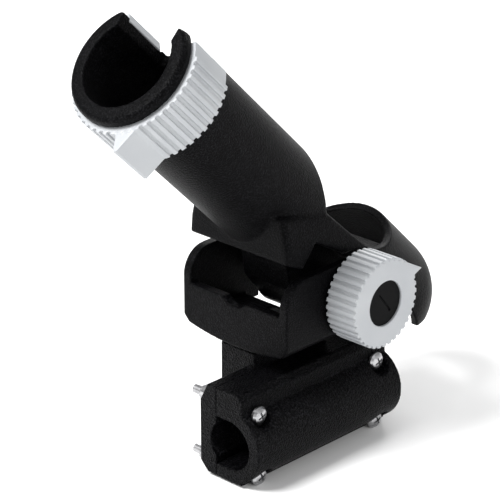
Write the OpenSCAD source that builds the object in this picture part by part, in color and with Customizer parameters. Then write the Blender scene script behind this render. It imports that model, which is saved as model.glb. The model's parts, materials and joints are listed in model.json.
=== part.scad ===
// Rail-mount fishing rod holder.
// Origin: centre of the rail bore. X is lateral (the tilt knob is on +X),
// -Y is the mouth side, +Y the rear, +Z up. Millimetres.

/* [Rail clamp] */
// Diameter of the rail the clamp closes on
rail_d = 22; // [21:0.5:23]
// Length of the clamp along the rail
clamp_len = 91; // [86:1:100]
// Height of the clamp's flat top above the rail axis
clamp_top = 24.5; // [23:0.5:26]
// Depth of the clamp's flat bottom below the rail axis
clamp_bottom = 17; // [16.5:0.5:19]
// Lateral position of the split between the two halves
split_x = -7.8; // [-8.5:0.1:-7]
// Lateral position of the base half's outer face
base_face_x = -17.4; // [-20:0.1:-16]
// Radius of the cover half's round back
cover_r = 17; // [16.5:0.5:19]
// Distance of the screws from the middle, along the rail
screw_y = 37; // [34:0.5:38]
// Distance of the screws above and below the rail axis
screw_z = 14.2; // [13.8:0.1:14.5]

/* [Neck and swivel] */
// Lateral position of the swivel axis
swivel_x = -18; // [-19:0.5:-17.5]
// Width of the neck across the rail
neck_w = 20.2; // [18:0.1:20.4]
// Length of the neck along the rail
neck_len = 44; // [40:1:50]
// Height of the neck's top above the rail axis
neck_top = 31.6; // [30:0.1:32]

/* [Yoke] */
// Outside width of the yoke
yoke_w = 61; // [60:0.5:64]
// Thickness of the yoke's ears and walls
yoke_wall = 4.5; // [4:0.1:5]
// Height of the yoke's lower side corner above the rail axis
yoke_low = 38.2; // [37.5:0.1:39]
// Sag of the yoke's belly below its side corners
belly_sag = 5.4; // [3:0.1:5.6]
// Height of the yoke's front wall above its side corners
front_wall_h = 16; // [12:0.5:18]
// Front face of the yoke along the rail
yoke_front_y = -24.2; // [-26:0.1:-23.5]

/* [Tilt pivot] */
// Pivot position along the rail
pivot_y = 18.3; // [17:0.1:20]
// Pivot height above the rail axis
pivot_z = 53.9; // [53:0.1:55]
// Radius of the yoke's ears around the pivot
ear_r = 15.4; // [14:0.1:15.6]
// Radius of the holder's pivot boss
boss_r = 16; // [14:0.1:16.2]
// Width of the holder's pivot boss
boss_w = 27; // [24:0.5:30]
// Tilt of the tube above the horizontal in the stored position
tilt = 44; // [44:1:44]

/* [Rod tube] */
// Outside diameter of the tube
tube_d = 48; // [47:0.5:49]
// Inside diameter of the tube
bore_d = 40; // [38:0.5:41]
// Distance from the mouth to the end of the full-round tube
tube_len = 120; // [118:1:122]
// Diameter of the lip at the mouth
lip_d = 53; // [52:0.5:54]
// Length of the lip along the tube
lip_len = 5; // [4.5:0.5:6]
// Width of the reel-stem slot
slot_w = 30; // [26:0.5:32]
// Length of the reel-stem slot from the mouth
slot_len = 33; // [28:0.5:36]
// Radius of the rear body and its rounded end
body_r = 28.2; // [27:0.1:28.4]

/* [Locking ring] */
// Diameter over the ring's ribs
ring_d = 58; // [57:0.5:59]
// Length of the ring along the tube
ring_len = 23; // [20:0.5:23]
// Number of rib pitches in a full turn
ring_pitches = 48; // [36:1:60]
// Half angle of the ring's opening
ring_gap = 45; // [42:1:48]

/* [Tilt knob] */
// Diameter over the knob's ribs
knob_d = 40; // [38:0.5:41]
// Thickness of the knob
knob_t = 16; // [14:0.5:17]
// Number of ribs round the knob
knob_ribs = 36; // [30:1:44]

/* [Hidden] */
$fn = 96;

eps = 0.02;
wall = 3.5;
fit = 0.05;
gap = 0.3;

// clamp hardware, M4
m4_r = 2;
m4_hole_r = 2.2;
head_r = 4;
head_h = 2.8;
head_seat_x = 8.2;
nut_af = 7;
nut_h = 6;
tip_x = -29;
pocket_r = 5.2;

// the cover's flat top ends in a step here, its edge chamfered
cover_step_x = 7;
cover_chamfer = 3;

// swivel hardware, M6
m6_r = 3;
m6_hole_r = 3.2;
m6_washer_t = 1.5;
m6_nut_r = 5.7;
m6_nut_h = 6;
m6_nut_z = 13;
m6_head_h = 3;
disc_r = 9.5;
yoke_floor = 6.7;
yoke_floor_len = 33.5;
head_sink = 3.5;
belly_z = yoke_low - belly_sag;

// tilt hardware, M8
m8_r = 4;
m8_head_r = 8;
ear_in = yoke_w / 2 - yoke_wall;
ear_out = yoke_w / 2;
washer_t = 1;
knob_x0 = ear_out + washer_t + 0.2;
knob_r = knob_d / 2;
cap_r = 10;
cap_t = 3;
cap_recess = 0.8;

// rod tube, measured along the tube from the mouth (a) and above its axis (b)
pivot_a = 155.6;
pivot_b = -15.4;
tube_r = tube_d / 2;
bore_r = bore_d / 2;
lip_r = lip_d / 2;
seat_r = tube_r - 0.7;
ring_a0 = lip_len + 0.4;
ring_r = ring_d / 2;
ring_bore_r = seat_r + 0.3;
body_end_a = 203;
window_b = 4;
window_end_a = 172;
shoulder_a = 104;
horn_b = 19;
// where the wide body takes over from the tube, above the window's floor
body_a0 = 124;
window_r = 25;

// ---------- helpers ----------

// outline in the YZ plane, extruded across X about its middle
module across(w) { rotate([90, 0, 90]) linear_extrude(w, center = true) children(); }

// round bar along X, from x0 to x1
module bar_x(x0, x1, r, fn = 96) {
    translate([x0, 0, 0]) rotate([0, 90, 0]) cylinder(h = x1 - x0, r = r, $fn = fn);
}

// round bar along Y, centred
module bar_y(len, r) { rotate([90, 0, 0]) cylinder(h = len, r = r, center = true); }

// frame of the tilting holder: pivot at the origin, still level
module at_pivot() { translate([swivel_x, pivot_y, pivot_z]) children(); }

// frame of the tube: Z runs to the mouth, Y is up across the tube, mouth centre at the origin
module at_mouth() {
    at_pivot() rotate([90 - tilt, 0, 0]) translate([0, -pivot_b, pivot_a]) children();
}

// a stretch of the tube frame that starts a millimetres behind the mouth
module behind(a) { translate([0, 0, -a]) children(); }

// level outline point, relative to the pivot, of a point given along the tube
function level(a, b) = [
    (a - pivot_a) * cos(tilt) + (b - pivot_b) * sin(tilt),
    -(a - pivot_a) * sin(tilt) + (b - pivot_b) * cos(tilt)
];

// points of an arc about c, from angle a0 to a1
function arc(c, r, a0, a1, n) = [
    for (i = [0:n]) c + r * [cos(a0 + (a1 - a0) * i / n), sin(a0 + (a1 - a0) * i / n)]
];

// ---------- rail clamp ----------

module screw_places() {
    for (y = [-screw_y, screw_y])
        for (z = [-screw_z, screw_z])
            translate([0, y, z]) children();
}

// chamfer on the base half's outer corners, twice as high at the top
base_chamfer = 4.4;

// outline of the base half across the rail, in X and Z
module base_outline() {
    polygon([
        [split_x, -clamp_bottom], [split_x, clamp_top], [base_face_x + base_chamfer, clamp_top],
        [base_face_x, clamp_top - 2 * base_chamfer], [base_face_x, -clamp_bottom + base_chamfer],
        [base_face_x + base_chamfer, -clamp_bottom]
    ]);
}

module clamp_base() color([0.11, 0.11, 0.12]) difference() {
    union() {
        rotate([90, 0, 0]) linear_extrude(clamp_len, center = true) base_outline();
        translate([swivel_x - neck_w / 2, -neck_len / 2, 4]) cube([neck_w, neck_len, neck_top - 4]);
    }
    // rail bore
    bar_y(clamp_len + 2, rail_d / 2);
    // keeps the neck behind the split plane
    translate([split_x, -clamp_len, -40]) cube([40, 2 * clamp_len, 100]);
    screw_places() bar_x(-40, 0, m4_hole_r);
    // flats for the upper nuts
    for (y = [-screw_y, screw_y])
        translate([base_face_x - 10, y - pocket_r, screw_z - pocket_r])
            cube([10 + eps, 2 * pocket_r, 2 * pocket_r]);
    // swivel bolt hole and the pocket that holds its nut, open to the back
    translate([swivel_x, 0, 0]) cylinder(h = 60, r = m6_hole_r);
    translate([swivel_x, 0, m6_nut_z - 1]) cylinder(h = m6_nut_h + 2, r = m6_nut_r + 0.4, $fn = 6);
    translate([swivel_x - 20, -5.3, m6_nut_z - 1]) cube([20, 10.6, m6_nut_h + 2]);
}

// outline of the cover half across the rail, in X and Z
module cover_outline() {
    intersection() {
        union() {
            circle(r = cover_r);
            translate([split_x, -clamp_bottom]) square([cover_step_x - split_x, clamp_bottom]);
            polygon([
                [split_x, 0], [cover_step_x, 0], [cover_step_x, clamp_top - cover_chamfer],
                [cover_step_x - cover_chamfer, clamp_top], [split_x, clamp_top]
            ]);
        }
        translate([split_x, -clamp_bottom]) square([60, 60]);
    }
}

module clamp_cover() color([0.12, 0.12, 0.13]) difference() {
    rotate([90, 0, 0]) linear_extrude(clamp_len, center = true) cover_outline();
    bar_y(clamp_len + 2, rail_d / 2);
    // straight walls of the rail channel, from the bore to the split
    translate([split_x - 1, -clamp_len, -rail_d / 2]) cube([1 - split_x, 2 * clamp_len, rail_d]);
    screw_places() bar_x(-20, 20, m4_hole_r);
    // pockets for the screw heads
    screw_places() bar_x(head_seat_x, 40, pocket_r);
}

// pan head with a cross recess, on a plain shank
module clamp_screw() {
    dome_r = 7;
    dome = arc([0, head_h - dome_r], dome_r, 90, acos(3.2 / dome_r), 8);
    difference() {
        translate([tip_x, 0, 0]) rotate([0, 90, 0]) rotate_extrude() polygon(concat(
            [[0, 0], [m4_r - 0.5, 0], [m4_r, 0.5], [m4_r, head_seat_x - tip_x], [head_r, head_seat_x - tip_x]],
            [[head_r, head_seat_x - tip_x + 1]],
            [for (i = [len(dome) - 1:-1:0]) dome[i] + [0, head_seat_x - tip_x]]
        ));
        for (a = [0, 90])
            rotate([a + 20, 0, 0]) translate([head_seat_x + 1.2, -2.1, -0.45]) cube([3, 4.2, 0.9]);
    }
}

module clamp_screws() color([0.8, 0.8, 0.82]) screw_places() clamp_screw();

module clamp_nuts() color([0.78, 0.78, 0.8]) screw_places() difference() {
    union() {
        bar_x(base_face_x - nut_h + 1.2, base_face_x, nut_af / sqrt(3), 6);
        bar_x(base_face_x - nut_h, base_face_x - nut_h + 1.2 + eps, nut_af / 2 - 0.3, 64);
    }
    bar_x(-40, 0, m4_r, 48);
}

// ---------- swivel ----------

module swivel_bolt() color([0.78, 0.78, 0.8]) translate([swivel_x, 0, 0]) {
    head_z = belly_z + yoke_floor - head_sink + m6_washer_t + 0.1;
    translate([0, 0, 10]) cylinder(h = head_z - 10, r = m6_r, $fn = 48);
    translate([0, 0, head_z]) cylinder(h = m6_head_h, r = m6_nut_r, $fn = 6);
}

module swivel_nut() color([0.78, 0.78, 0.8]) translate([swivel_x, 0, m6_nut_z]) difference() {
    cylinder(h = m6_nut_h, r = m6_nut_r, $fn = 6);
    translate([0, 0, -1]) cylinder(h = m6_nut_h + 2, r = m6_r, $fn = 48);
}

module swivel_washer() color([0.76, 0.76, 0.78])
    translate([swivel_x, 0, belly_z + yoke_floor - head_sink]) difference() {
        cylinder(h = m6_washer_t, r = 8);
        translate([0, 0, -1]) cylinder(h = 4, r = m6_r + fit);
    }

// low bearing disc between the neck and the yoke
module swivel_disc() color([0.85, 0.85, 0.86]) translate([swivel_x, 0, neck_top]) difference() {
    cylinder(h = belly_z - gap - neck_top, r = disc_r);
    translate([0, 0, -1]) cylinder(h = 4, r = m6_r + fit);
}

// ---------- yoke ----------

// belly of the yoke across its width: one shallow arc between the side corners
belly_half = yoke_w / 2 - 3;
belly_edge = yoke_low - 2.4;
belly_r = (belly_half * belly_half + pow(belly_edge - belly_z, 2)) / (2 * (belly_edge - belly_z));
belly_angle = asin(belly_half / belly_r);

module yoke_front_outline() {
    polygon(concat(
        arc([0, belly_z + belly_r], belly_r, 270 - belly_angle, 270 + belly_angle, 24),
        [[yoke_w / 2, yoke_low + 0.8], [yoke_w / 2, yoke_low + 60], [-yoke_w / 2, yoke_low + 60],
         [-yoke_w / 2, yoke_low + 0.8]]
    ));
}

// one ear seen from the side, relative to the pivot
module ear_outline() {
    front = yoke_front_y - pivot_y;
    low = belly_z - pivot_z;
    corner = 12;
    difference() {
        union() {
            circle(r = ear_r);
            translate([front, low]) square([-front, yoke_low - belly_z + 2 * ear_r - 0.4 - corner]);
            translate([front + corner, low]) square([-front - corner, ear_r - low]);
            translate([front + corner, ear_r - corner]) circle(r = corner);
        }
        translate([0, -ear_r - 20]) square([40, 20]);
    }
}

module yoke() color([0.11, 0.11, 0.12]) difference() {
    translate([swivel_x, 0, 0]) intersection() {
        // plan and belly
        rotate([90, 0, 0]) linear_extrude(200, center = true) yoke_front_outline();
        union() {
            // ears
            for (s = [-1, 1])
                translate([s * (ear_in + yoke_wall / 2), pivot_y, pivot_z]) across(yoke_wall) ear_outline();
            // front wall
            translate([-ear_out, yoke_front_y, belly_z])
                cube([yoke_w, yoke_wall, yoke_low - belly_z + front_wall_h]);
            // floor
            translate([-ear_out, yoke_front_y, belly_z]) cube([yoke_w, yoke_floor_len, yoke_floor]);
        }
    }
    // swivel bolt hole, its washer and head sunk in the floor
    translate([swivel_x, 0, 0]) cylinder(h = 60, r = m6_r + fit);
    translate([swivel_x, 0, belly_z + yoke_floor - head_sink]) cylinder(h = 10, r = 9.2);
    // shallow dip in the middle of the front wall's top edge
    translate([swivel_x, yoke_front_y - 1, yoke_low + front_wall_h + 6])
        rotate([-90, 0, 0]) cylinder(h = yoke_wall + 2, r = 9);
    // tilt bolt holes: square in the knobless ear, round in the other
    at_pivot() bar_x(0, ear_out + 1, m8_r + 0.2);
    square_half = m8_r + 0.1;
    at_pivot() translate([-ear_out - 1, -square_half, -square_half])
        cube([yoke_wall + 2, 2 * square_half, 2 * square_half]);
}

// ---------- tilt pivot ----------

// carriage bolt, its square neck locked in one ear
module tilt_bolt() color([0.78, 0.78, 0.8]) at_pivot() {
    bar_x(-ear_out, knob_x0 + knob_t - cap_t - cap_recess - 0.6, m8_r, 64);
    translate([-ear_out, -m8_r, -m8_r]) cube([yoke_wall - 0.3, 2 * m8_r, 2 * m8_r]);
    intersection() {
        translate([-ear_out + 6.5, 0, 0]) sphere(r = 10.4, $fn = 64);
        bar_x(-ear_out - 4, -ear_out, m8_head_r, 64);
    }
}

module pivot_spacers() color([0.74, 0.74, 0.76]) at_pivot()
    for (s = [-1, 1])
        translate([s * (boss_w / 2 + ear_in + gap) / 2, 0, 0]) difference() {
            bar_x(-(ear_in - boss_w / 2 - gap) / 2, (ear_in - boss_w / 2 - gap) / 2, 6, 64);
            bar_x(-20, 20, m8_r + fit, 64);
        }

module thrust_washer() color([0.76, 0.76, 0.78]) at_pivot() difference() {
    bar_x(ear_out, ear_out + washer_t, 9);
    bar_x(ear_out - 1, ear_out + washer_t + 1, m8_r + fit);
}

// ---------- rod holder body ----------

// side outline of the wide rear body, level, relative to the pivot
block_front = -40.2;
block_low = 23.4;
block_high = 43.2;
hood_low = -33;
arch_r = 18;

module body_outline() {
    polygon(concat(
        [[block_front, block_low], [block_front, block_high], level(body_a0, window_b),
         level(body_a0, 60), level(236, 60),
         level(240, 0), [80, hood_low], [48, hood_low], [36, -14]],
        arc([0, 0], arch_r, -8, 103, 20),
        [[-22, 27.9], [-29.8, 18.5]]
    ));
}

// the window cut above the rear body, in the tube's side view: Y up, Z to the mouth
module window_outline() {
    b_top = window_b + window_r;
    polygon(concat(
        [[60, 32 - shoulder_a], [tube_r, -shoulder_a],
         [window_b, -shoulder_a - 0.9 * (tube_r - window_b)]],
        arc([b_top, -(window_end_a - window_r)], window_r, 180, 270, 20),
        [[60, -window_end_a]]
    ));
}

// solid envelope of the rear body in the tube frame
module body_envelope(r, half_w) {
    behind(body_end_a) cylinder(h = body_end_a - 80, r = r);
    behind(body_end_a) sphere(r = r);
    translate([-half_w, -70, -150]) cube([2 * half_w, 70, 80]);
}

// slopes that draw the sides of the block in to the tube, at the front and the top
module flank_cuts(inset) {
    for (side = [0, 1])
        mirror([side, 0, 0]) translate([tube_r + 0.3 - inset, -4, -106]) rotate([0, -7.2, 14])
            translate([0, -80, -80]) cube([30, 160, 160]);
}

// rear body: a shell open underneath
module rear_body() difference() {
    intersection() {
        at_mouth() difference() {
            body_envelope(body_r, body_r);
            across(100) window_outline();
        }
        at_pivot() across(2 * body_r) body_outline();
    }
    // hollow behind the block's front wall
    intersection() {
        at_mouth() difference() {
            body_envelope(body_r - wall, body_r - wall);
            behind(tube_len + 1) cylinder(h = 60, r = tube_r);
            flank_cuts(wall);
        }
        at_pivot() translate([-60, block_front + wall, -80]) cube([120, 200, 160]);
    }
}

// scooped floor inside the window
scoop_drop = 3;
module scoop() intersection() {
    at_mouth() across(2 * (body_r - wall) + 0.5) {
        difference() {
            translate([-8, -168]) square([30, 168 - tube_len]);
            translate([-scoop_drop, 0]) window_outline();
            translate([-scoop_drop - 3, -6]) window_outline_back();
        }
    }
    at_mouth() behind(body_end_a) cylinder(h = body_end_a - 80, r = body_r - 1);
}

// everything more than a floor's thickness under the scoop
module window_outline_back() {
    b_top = window_b + window_r;
    polygon(concat(
        [[-60, -tube_len + 20], [window_b, -tube_len + 20]],
        arc([b_top, -(window_end_a - window_r)], window_r, 180, 270, 20),
        [[b_top, -300], [-60, -300]]
    ));
}

// pivot boss and the web that carries it under the tube
module pivot_web() at_pivot() {
    bar_x(-boss_w / 2, boss_w / 2, boss_r);
    across(boss_w) polygon([[-22.5, 2.6], [-boss_r - 0.3, -4.8], [-11, -11], [8, -boss_r + 3], [boss_r, 0],
                            [boss_r - 3, 14], level(150, -1), level(121, -12), level(112, -21), [-27, 24]]);
}

// lip at the mouth, its front edge rounded, its two horns cut flat beside the slot
module lip() difference() {
    round_r = 2.4;
    union() {
        behind(lip_len) cylinder(h = lip_len - round_r, r = lip_r);
        behind(round_r) rotate_extrude() union() {
            translate([0, -0.5]) square([lip_r, 0.5]);
            square([lip_r - round_r, round_r]);
            intersection() {
                translate([lip_r - round_r, 0]) circle(r = round_r);
                square([lip_r + 1, round_r + 1]);
            }
        }
    }
    translate([-lip_r, horn_b, -lip_len - 0.2]) cube([2 * lip_r, lip_r, lip_len + 1]);
}

module tube_shell() at_mouth() difference() {
    union() {
        difference() {
            behind(tube_len + 4) cylinder(h = tube_len + 4 - lip_len, r = tube_r);
            across(100) window_outline();
        }
        lip();
        // stop wall under the scoop
        intersection() {
            behind(tube_len + wall) cylinder(h = wall + 1, r = tube_r);
            translate([-40, -40, -200]) cube([80, 40 - 1, 200]);
        }
    }
    // seat of the locking ring
    behind(ring_a0 + ring_len + 0.4) difference() {
        cylinder(h = ring_len + 0.8, r = tube_r + 2);
        translate([0, 0, -1]) cylinder(h = ring_len + 3, r = seat_r);
    }
}

module holder_body() color([0.11, 0.11, 0.12]) difference() {
    union() {
        difference() {
            union() {
                rear_body();
                scoop();
            }
            at_mouth() flank_cuts(0);
        }
        pivot_web();
        tube_shell();
    }
    // rod bore
    at_mouth() behind(tube_len) cylinder(h = tube_len + 10, r = bore_r);
    // reel-stem slot
    at_mouth() translate([-slot_w / 2, 0, -slot_len]) cube([slot_w, 40, slot_len + 10]);
    // pivot bore
    at_pivot() bar_x(-boss_w, boss_w, m8_r + fit);
}

// ---------- locking ring ----------

// depth of the ribs on the ring
ring_rib = 1.1;
// angle of each smooth end block beside the opening
ring_end = 9;

// one rib seen along the tube
module ring_rib_outline() {
    rib_w = PI * ring_d / ring_pitches * 0.52;
    translate([ring_r - ring_rib - 1, -rib_w / 2]) square([ring_rib + 1, rib_w]);
}

// direction of the middle of the ring's opening
ring_open = 85;

// the ring seen along the tube
module ring_outline() {
    pitch = 360 / ring_pitches;
    first = ring_open + ring_gap + ring_end;
    ribs = floor((360 - 2 * ring_gap - 2 * ring_end) / pitch);
    difference() {
        union() {
            circle(r = ring_r - ring_rib);
            for (i = [0:ribs - 1])
                rotate(first + (i + 0.5) * pitch) ring_rib_outline();
        }
        circle(r = ring_bore_r);
        // opening of the ring
        rotate(ring_open - 90)
            polygon([[0, 0], 60 * [sin(ring_gap), cos(ring_gap)], [0, 80], 60 * [-sin(ring_gap), cos(ring_gap)]]);
    }
}

// thumb tab at the bottom of the ring: a steep face and a long sloping one
tab_r = 36.5;
tab_tip = -70;
tab_root = -54.5;
function polar(r, a) = [r * cos(a), r * sin(a)];
module ring_tab_outline() {
    polygon([
        polar(25, tab_root), polar(ring_r, tab_root), polar(tab_r, tab_tip + 2.5), polar(tab_r, tab_tip),
        polar(25, tab_tip - 3)
    ]);
}

module locking_ring() color([0.9, 0.91, 0.92]) at_mouth() behind(ring_a0 + ring_len) {
    linear_extrude(ring_len) ring_outline();
    translate([0, 0, 0.4]) linear_extrude(ring_len - 0.8) ring_tab_outline();
}

// ---------- tilt knob ----------

// thumb tab on the knob, full thickness
knob_tab_r = 25;
module knob() color([0.9, 0.91, 0.92]) at_pivot() difference() {
    translate([knob_x0, 0, 0]) rotate([90, 0, 90]) union() {
        cylinder(h = knob_t, r = knob_r - 1);
        for (i = [0:knob_ribs - 1])
            rotate([0, 0, i * 360 / knob_ribs]) translate([knob_r - 1.8, -0.95, 0]) cube([1.8, 1.9, knob_t]);
        knob_tab();
    }
    bar_x(knob_x0 - 1, knob_x0 + knob_t + 1, 6.5, 6);
    bar_x(knob_x0 + knob_t - cap_t - cap_recess, knob_x0 + knob_t + 1, cap_r + 0.1);
}

module knob_tab() {
    tip = 22;
    flat = acos((knob_r - 1) / knob_tab_r);
    linear_extrude(knob_t) polygon([
        12 * [cos(tip), sin(tip)], knob_tab_r * [cos(tip), sin(tip)],
        (knob_r - 1) * [cos(tip + flat), sin(tip + flat)], 12 * [cos(tip + flat), sin(tip + flat)]
    ]);
}

module knob_insert() color([0.72, 0.58, 0.3]) at_pivot() difference() {
    bar_x(knob_x0, knob_x0 + knob_t - cap_t - cap_recess - 0.2, 6.5, 6);
    bar_x(knob_x0 - 1, knob_x0 + knob_t, m8_r + fit, 64);
}

// slot across the cap
cap_slot_len = 11.4;
cap_slot_w = 1;
slot_depth = 0.6;
slot_angle = -51;

module knob_cap() color([0.12, 0.12, 0.13]) at_pivot() difference() {
    bar_x(knob_x0 + knob_t - cap_t - cap_recess, knob_x0 + knob_t - cap_recess, cap_r);
    // shallow slot across the cap
    translate([knob_x0 + knob_t - cap_recess - slot_depth, 0, 0]) rotate([slot_angle, 0, 0])
        translate([0, -cap_slot_len / 2, -cap_slot_w / 2]) cube([1, cap_slot_len, cap_slot_w]);
}

clamp_base();
clamp_cover();
clamp_screws();
clamp_nuts();
swivel_bolt();
swivel_washer();
swivel_nut();
swivel_disc();
yoke();
tilt_bolt();
pivot_spacers();
thrust_washer();
holder_body();
locking_ring();
knob();
knob_insert();
knob_cap();
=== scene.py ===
"""Rail-mount rod holder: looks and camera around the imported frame."""
import json
import math

import bmesh
import bpy
from mathutils import Matrix, Vector


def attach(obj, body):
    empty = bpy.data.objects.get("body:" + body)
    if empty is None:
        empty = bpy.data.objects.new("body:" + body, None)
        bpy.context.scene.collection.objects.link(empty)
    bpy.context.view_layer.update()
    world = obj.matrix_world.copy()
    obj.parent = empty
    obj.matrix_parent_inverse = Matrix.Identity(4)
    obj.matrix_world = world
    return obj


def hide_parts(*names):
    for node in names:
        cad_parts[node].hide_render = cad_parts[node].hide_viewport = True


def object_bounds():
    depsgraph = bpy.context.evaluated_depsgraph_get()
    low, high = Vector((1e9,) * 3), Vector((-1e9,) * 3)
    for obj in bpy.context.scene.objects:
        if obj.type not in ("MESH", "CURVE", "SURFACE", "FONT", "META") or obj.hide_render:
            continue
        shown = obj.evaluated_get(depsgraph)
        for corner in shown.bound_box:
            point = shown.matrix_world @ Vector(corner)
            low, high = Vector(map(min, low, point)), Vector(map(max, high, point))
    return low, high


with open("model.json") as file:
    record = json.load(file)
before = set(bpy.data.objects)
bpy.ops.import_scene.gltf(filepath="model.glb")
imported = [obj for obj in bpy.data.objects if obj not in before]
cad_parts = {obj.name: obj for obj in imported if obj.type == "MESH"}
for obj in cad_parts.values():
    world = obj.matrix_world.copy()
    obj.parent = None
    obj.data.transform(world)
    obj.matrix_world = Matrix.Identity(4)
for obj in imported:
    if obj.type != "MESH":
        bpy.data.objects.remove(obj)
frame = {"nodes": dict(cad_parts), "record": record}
cad_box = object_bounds()
nodes = frame["nodes"]
MM = 0.001

# the photograph's viewpoint, fitted: azimuth from -Y towards +X, elevation, distance and aim
AZIMUTH = math.radians(43.93)
ELEVATION = math.radians(22.46)
DISTANCE = 0.9707
AIM = Vector((-0.03196, 0.0, 0.06602))
LENS = 162.5


# ---------- material helpers ----------

def new_material(name):
    """A node material: the material, its tree, its shader and the object's coordinates."""
    mat = bpy.data.materials.new(name)
    mat.use_nodes = True
    tree = mat.node_tree
    shader = tree.nodes["Principled BSDF"]
    coords = tree.nodes.new("ShaderNodeTexCoord")
    return mat, tree, shader, coords.outputs["Object"]


def noise(tree, vector, scale, detail=3.0, rough=0.5):
    """Cloudy noise, 0 to 1; scale is in clouds per metre."""
    node = tree.nodes.new("ShaderNodeTexNoise")
    node.inputs["Scale"].default_value = scale
    node.inputs["Detail"].default_value = detail
    node.inputs["Roughness"].default_value = rough
    tree.links.new(vector, node.inputs["Vector"])
    return node.outputs["Fac"]


def cells(tree, vector, scale):
    """Distance to the nearest of many scattered points."""
    node = tree.nodes.new("ShaderNodeTexVoronoi")
    node.inputs["Scale"].default_value = scale
    tree.links.new(vector, node.inputs["Vector"])
    return node.outputs["Distance"]


def ramp(tree, value, stops):
    """A colour ramp; stops are (place, colour)."""
    node = tree.nodes.new("ShaderNodeValToRGB")
    for element, (place, colour) in zip(node.color_ramp.elements, (stops[0], stops[-1])):
        element.position = place
        element.color = (*colour, 1)
    for place, colour in stops[1:-1]:
        element = node.color_ramp.elements.new(place)
        element.color = (*colour, 1)
    tree.links.new(value, node.inputs["Fac"])
    return node.outputs["Color"]


def span(tree, value, low, high):
    """value from 0..1 to low..high."""
    node = tree.nodes.new("ShaderNodeMapRange")
    node.inputs["To Min"].default_value = low
    node.inputs["To Max"].default_value = high
    tree.links.new(value, node.inputs["Value"])
    return node.outputs["Result"]


def added(tree, a, b, share):
    """a + share * b."""
    node = tree.nodes.new("ShaderNodeMath")
    node.operation = "MULTIPLY_ADD"
    node.inputs[1].default_value = share
    tree.links.new(b, node.inputs[0])
    tree.links.new(a, node.inputs[2])
    return node.outputs[0]


def bump(tree, shader, height, depth, strength):
    """Relief from height, depth metres deep."""
    node = tree.nodes.new("ShaderNodeBump")
    node.inputs["Distance"].default_value = depth
    node.inputs["Strength"].default_value = strength
    tree.links.new(height, node.inputs["Height"])
    tree.links.new(node.outputs["Normal"], shader.inputs["Normal"])


# ---------- materials ----------

def black_nylon(name, grain, depth, rough_low, rough_high, painted_glint):
    """Glass-filled nylon with a spark-eroded grain: grain is its scale, depth its height, and the
    last argument how bright the base colour is painted on the tops of the grain, a painted
    highlight standing in for the glint of light on them."""
    mat, tree, shader, place = new_material(name)
    pits = cells(tree, place, grain)
    fine = noise(tree, place, grain, 2.0, 0.5)
    cloud = noise(tree, place, 60, 3.0, 0.55)
    bump(tree, shader, added(tree, pits, fine, 0.8), depth, 0.75)
    grain_and_painted_glint = added(tree, fine, cloud, 0.12)
    # base colour: a dark grain tone that varies at random, with its top stop a painted highlight
    # on the tops of the grain
    tree.links.new(
        ramp(tree, grain_and_painted_glint, [(0.50, (0.0006, 0.0006, 0.0008)), (0.60, (0.0016, 0.0016, 0.0020)),
                             (0.70, (painted_glint, painted_glint, 1.12 * painted_glint))]),
        shader.inputs["Base Color"])
    tree.links.new(span(tree, grain_and_painted_glint, rough_low, rough_high), shader.inputs["Roughness"])
    shader.inputs["Specular IOR Level"].default_value = 0.04
    return mat


def white_nylon():
    """Satin white moulded plastic with a faint mottling and a very fine skin."""
    mat, tree, shader, place = new_material("white_nylon")
    skin = noise(tree, place, 1400, 3.0, 0.6)
    cloud = noise(tree, place, 45, 2.0, 0.5)
    tree.links.new(
        ramp(tree, cloud, [(0.3, (0.40, 0.415, 0.435)), (0.7, (0.45, 0.465, 0.48))]),
        shader.inputs["Base Color"])
    tree.links.new(span(tree, cloud, 0.40, 0.52), shader.inputs["Roughness"])
    bump(tree, shader, skin, 0.00005, 0.35)
    shader.inputs["Subsurface Weight"].default_value = 0.06
    shader.inputs["Subsurface Radius"].default_value = (0.002, 0.002, 0.002)
    return mat


def metal(name, dark, light, rough_low, rough_high):
    """Turned or rolled metal: fine streaks across, and cloudier patches of roughness."""
    streaks = (40, 40, 900)
    mat, tree, shader, place = new_material(name)
    stretch = tree.nodes.new("ShaderNodeMapping")
    stretch.inputs["Scale"].default_value = streaks
    tree.links.new(place, stretch.inputs["Vector"])
    lines = noise(tree, stretch.outputs["Vector"], 1.0, 3.0, 0.6)
    cloud = noise(tree, place, 260, 3.0, 0.6)
    mixed = added(tree, lines, cloud, 0.6)
    tree.links.new(ramp(tree, mixed, [(0.4, dark), (1.0, light)]), shader.inputs["Base Color"])
    tree.links.new(span(tree, mixed, rough_low, rough_high), shader.inputs["Roughness"])
    bump(tree, shader, lines, 0.00004, 0.3)
    shader.inputs["Metallic"].default_value = 1.0
    return mat


# the last number of each is the brightness of the painted highlight on the tops of the grain
GRAINED = black_nylon("black_nylon_grained", 1300, 0.0006, 0.22, 0.42, 0.012)
SATIN = black_nylon("black_nylon_satin", 1600, 0.0002, 0.30, 0.50, 0.009)
CAP = black_nylon("black_nylon_cap", 2600, 0.00003, 0.34, 0.48, 0.004)
WHITE = white_nylon()
STEEL = metal("stainless", (0.26, 0.26, 0.27), (0.55, 0.55, 0.56), 0.16, 0.34)
BRASS = metal("brass", (0.52, 0.38, 0.15), (0.72, 0.56, 0.27), 0.22, 0.42)
ACETAL = white_nylon()
ACETAL.name = "acetal"


def dress(node, mat):
    """Gives a CAD node its finish."""
    mesh = nodes[node].data
    mesh.materials.clear()
    mesh.materials.append(mat)


def frame_body(node):
    """The name of the CAD body that a node rides on."""
    for body, members in frame["record"]["behaviour"]["bodies"].items():
        if node in members:
            return body


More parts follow.
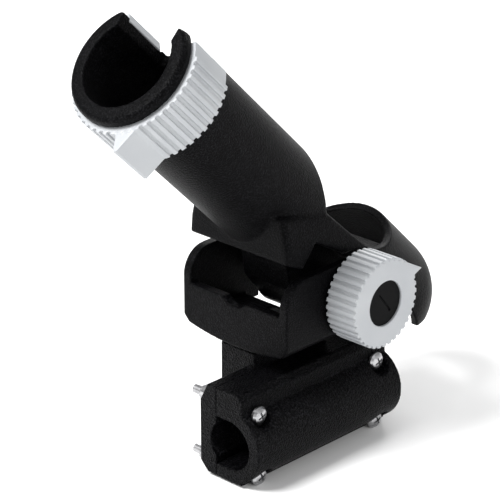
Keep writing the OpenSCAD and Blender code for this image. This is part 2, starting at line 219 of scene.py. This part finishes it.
def remeshed(node, voxel):
    """The CAD node's shape as an even mesh of small faces."""
    scratch = bpy.data.objects.new("scratch", nodes[node].data.copy())
    bpy.context.scene.collection.objects.link(scratch)
    remesh = scratch.modifiers.new("skin", "REMESH")
    remesh.mode = "VOXEL"
    remesh.voxel_size = voxel * MM
    remesh.use_smooth_shade = True
    graph = bpy.context.evaluated_depsgraph_get()
    mesh = bpy.data.meshes.new_from_object(scratch.evaluated_get(graph))
    bpy.data.objects.remove(scratch)
    return mesh


def smoothed(obj, name, iterations):
    """Adds a smoothing modifier and returns it."""
    modifier = obj.modifiers.new(name, "SMOOTH")
    modifier.factor = 0.5
    modifier.iterations = iterations
    return modifier


def moulded(node, mat, voxel, smooth):
    """A rounded copy of a CAD node: edges of a moulding are never sharp.
    voxel is the size of its faces in millimetres, smooth how often they are smoothed."""
    mesh = remeshed(node, voxel)
    mesh.materials.clear()
    mesh.materials.append(mat)
    obj = bpy.data.objects.new("moulded_" + node, mesh)
    bpy.context.scene.collection.objects.link(obj)
    smoothed(obj, "soften", smooth)
    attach(obj, frame_body(node))
    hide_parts(node)
    return obj


# the tilt pivot, and where it lies in the tube's frame: behind the mouth and above the axis, in mm
PIVOT = (-18.0, 18.3, 53.9)
PIVOT_IN_TUBE = (155.6, -15.4)
TILT = math.radians(44)
TUBE_R = 24.0


def faded(value, start, end):
    """0 at start, 1 at end, straight between."""
    return min(1.0, max(0.0, (value - start) / (end - start)))


def blend_flanks(obj):
    """Melts the ledge between the tube and the block's sides into a soft hollow.
    a is the distance behind the mouth and b the height above the tube's axis."""
    bore_clearance = 2
    group = obj.vertex_groups.new(name="flanks")
    for vert in obj.data.vertices:
        side, along, up = (vert.co[i] / MM - PIVOT[i] for i in range(3))
        a = PIVOT_IN_TUBE[0] + along * math.cos(TILT) - up * math.sin(TILT)
        b = PIVOT_IN_TUBE[1] + along * math.sin(TILT) + up * math.cos(TILT)
        if math.hypot(side, b) < TUBE_R - bore_clearance:
            continue
        weight = (faded(a, 88, 98) * faded(a, 155, 138) * faded(abs(side), 8, 14)
                  * faded(b, -27, -20) * faded(b, 7, 2))
        if weight > 0:
            group.add([vert.index], weight, "REPLACE")
    smoothed(obj, "melt", 70).vertex_group = group.name


moulded("clamp_base", GRAINED, 0.45, 4)
moulded("clamp_cover", GRAINED, 0.45, 4)
moulded("yoke", SATIN, 0.45, 4)
blend_flanks(moulded("holder_body", SATIN, 0.5, 5))
moulded("locking_ring", WHITE, 0.28, 4)
moulded("knob", WHITE, 0.25, 4)
moulded("knob_cap", CAP, 0.16, 3)
for name in ("clamp_screws", "clamp_nuts", "swivel_bolt", "swivel_washer", "swivel_nut",
             "tilt_bolt", "pivot_spacers", "thrust_washer"):
    dress(name, STEEL)
dress("knob_insert", BRASS)
dress("swivel_disc", ACETAL)


# ---------- floor, light and camera ----------

def floor(height):
    """A pale floor that runs up into a pale wall far behind the object."""
    run, rise, bend = 2.2, 1.8, 0.6
    near, half_width, bend_steps = -3.0, 4.0, 16
    profile = [(near, 0.0)]
    profile += [(run + bend * math.sin(a), bend - bend * math.cos(a))
                for a in (i * math.pi / 2 / bend_steps for i in range(bend_steps + 1))]
    profile.append((run + bend, rise))
    build = bmesh.new()
    rows = []
    for x in (-half_width, half_width):
        rows.append([build.verts.new((x, y, height + z)) for y, z in profile])
    for i in range(len(profile) - 1):
        build.faces.new((rows[0][i], rows[1][i], rows[1][i + 1], rows[0][i + 1]))
    mesh = bpy.data.meshes.new("floor")
    build.to_mesh(mesh)
    build.free()
    obj = bpy.data.objects.new("floor", mesh)
    obj.matrix_world = Matrix.Rotation(AZIMUTH, 4, "Z")
    bpy.context.scene.collection.objects.link(obj)
    for face in mesh.polygons:
        face.use_smooth = True
    mat, tree, shader, place = new_material("floor_paper")
    cloud = noise(tree, place, 3, 2.0, 0.5)
    tree.links.new(ramp(tree, cloud, [(0.3, (0.90, 0.90, 0.90)), (0.7, (0.93, 0.93, 0.93))]),
                   shader.inputs["Base Color"])
    shader.inputs["Roughness"].default_value = 0.9
    mesh.materials.append(mat)


def softbox(name, place, target, width, height, power):
    """A rectangular area light that faces the target."""
    data = bpy.data.lights.new(name, "AREA")
    data.shape = "RECTANGLE"
    data.size = width
    data.size_y = height
    data.energy = power
    obj = bpy.data.objects.new(name, data)
    obj.location = place
    obj.rotation_euler = (Vector(target) - Vector(place)).to_track_quat("-Z", "Y").to_euler()
    bpy.context.scene.collection.objects.link(obj)


def studio():
    """Three soft lights and a white surround."""
    middle = (-0.02, 0.0, 0.07)
    softbox("key_above_left", (-0.35, -1.05, 1.35), middle, 0.6, 0.6, 38)
    softbox("fill_right", (1.5, -0.2, 0.75), middle, 0.9, 1.1, 9)
    softbox("rim_behind", (-0.7, 1.3, 1.0), middle, 0.8, 0.8, 20)
    world = bpy.data.worlds.new("studio")
    world.use_nodes = True
    world.node_tree.nodes["Background"].inputs["Color"].default_value = (1, 1, 1, 1)
    world.node_tree.nodes["Background"].inputs["Strength"].default_value = 0.46
    bpy.context.scene.world = world


def camera():
    """The photograph's viewpoint."""
    back = Vector((math.sin(AZIMUTH) * math.cos(ELEVATION),
                   -math.cos(AZIMUTH) * math.cos(ELEVATION),
                   math.sin(ELEVATION)))
    data = bpy.data.cameras.new("camera")
    data.lens = LENS
    data.sensor_width = 36
    data.clip_start = 0.05
    obj = bpy.data.objects.new("camera", data)
    obj.location = AIM + back * DISTANCE
    obj.rotation_euler = (-back).to_track_quat("-Z", "Y").to_euler()
    bpy.context.scene.collection.objects.link(obj)
    bpy.context.scene.camera = obj


floor(cad_box[0].z)
studio()
camera()
bpy.context.scene.view_settings.view_transform = "Standard"
